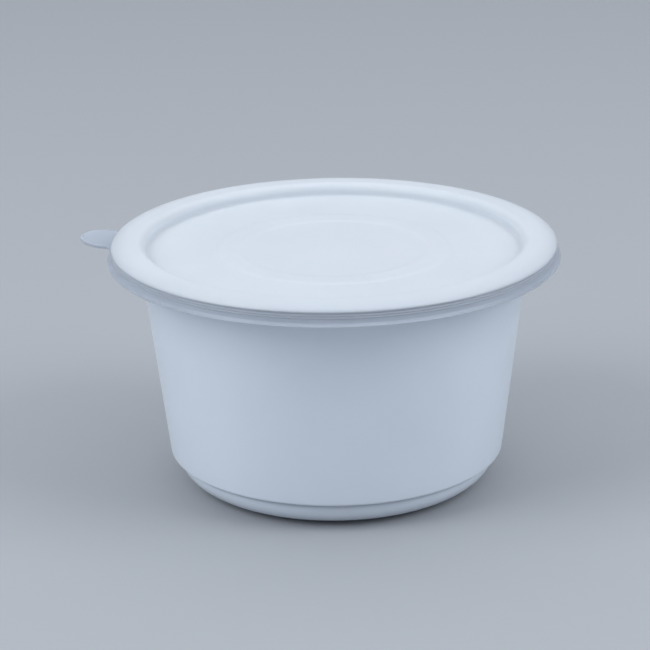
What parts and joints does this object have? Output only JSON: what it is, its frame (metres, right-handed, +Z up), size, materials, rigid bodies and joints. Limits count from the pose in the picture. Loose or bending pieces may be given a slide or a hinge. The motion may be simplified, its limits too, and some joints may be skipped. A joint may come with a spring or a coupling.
{
  "type": "go stone bowl",
  "caption": "Round moulded tub on a stepped foot for holding go stones, with a press-on lid and a bendable pull tab.",
  "frame": {"origin": "centre of the flat that the foot stands on", "axes": "+Z up along the bowl's axis of rotation; the front is -Y; the pull tab points along -X turned 13 degrees towards +Y"},
  "size_m": [0.1417, 0.1322, 0.0734],
  "materials": {
    "white_shell": "opaque white polypropylene, soft gloss",
    "frosted_lid": "thin frosted translucent polypropylene, satin"
  },
  "bodies": {
    "bowl": {"bowl": "white_shell"},
    "lid": {"lid": "frosted_lid"},
    "pull_tab": {"pull_tab": "frosted_lid"}
  },
  "joints": [
    {"name": "lid_lift", "type": "slide", "parent": "bowl", "child": "lid", "axis": [0, 0, 1], "range_m": [0, 0.12]},
    {"name": "tab_flex", "type": "hinge", "parent": "lid", "child": "pull_tab", "pos_m": [-0.06616, 0.01527, 0.06822], "axis": [0.225, 0.9744, 0], "range_deg": [-15, 60], "stiffness_Nm_per_rad": 0.05}
  ]
}
